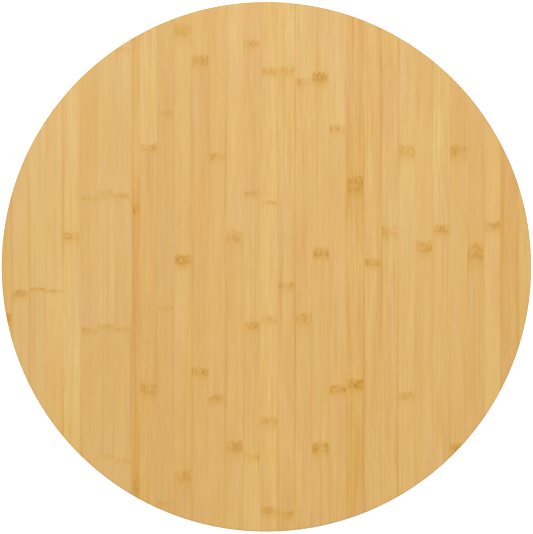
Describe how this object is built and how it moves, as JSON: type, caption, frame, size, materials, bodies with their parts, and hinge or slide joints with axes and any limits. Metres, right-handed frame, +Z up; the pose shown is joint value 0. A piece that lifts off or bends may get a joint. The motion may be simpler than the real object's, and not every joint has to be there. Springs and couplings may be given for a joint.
{
  "type": "lazy susan turntable",
  "caption": "Round bamboo lazy susan: a serving board that spins freely on a ball-bearing ring over a smaller round base with rubber feet.",
  "frame": {"origin": "where the turning axis meets the table, under the middle of the board", "axes": "+Z up along the turning axis, +Y along the grain of the board's face at rest, +X across the grain"},
  "size_m": [0.5999, 0.6, 0.044],
  "materials": {
    "bamboo_face": "oiled bamboo, flat-pressed strips with knuckles",
    "bamboo_core": "pressed bamboo core, laid crosswise",
    "ring_aluminium": "turned aluminium, satin",
    "ball_steel": "polished bearing steel",
    "cage_nylon": "natural nylon",
    "screw_zinc": "zinc plated",
    "foot_rubber": "black rubber, matt"
  },
  "bodies": {
    "base": {"base_face_ply": "bamboo_face", "base_core_ply": "bamboo_core", "base_back_ply": "bamboo_face", "bearing_inner_ring": "ring_aluminium", "inner_ring_screws": "screw_zinc", "foot_1": "foot_rubber", "foot_2": "foot_rubber", "foot_3": "foot_rubber", "foot_4": "foot_rubber", "foot_5": "foot_rubber", "foot_6": "foot_rubber", "foot_washers": "screw_zinc", "foot_screws": "screw_zinc"},
    "turning_board": {"top_face_ply": "bamboo_face", "top_core_ply": "bamboo_core", "top_back_ply": "bamboo_face", "bearing_outer_ring": "ring_aluminium", "ball_filler_plug": "screw_zinc", "outer_ring_screws": "screw_zinc"},
    "ball_train": {"ball_cage": "cage_nylon", "bearing_balls": "ball_steel"}
  },
  "joints": [
    {"name": "board_spin", "type": "hinge", "parent": "base", "child": "turning_board", "pos_m": [0, 0, 0.0245], "axis": [0, 0, 1], "continuous": true},
    {"name": "ball_train_spin", "type": "hinge", "parent": "base", "child": "ball_train", "pos_m": [0, 0, 0.0245], "axis": [0, 0, 1], "continuous": true}
  ],
  "couplings": [
    {"joint": "ball_train_spin", "follows": "board_spin", "ratio": 0.505}
  ]
}
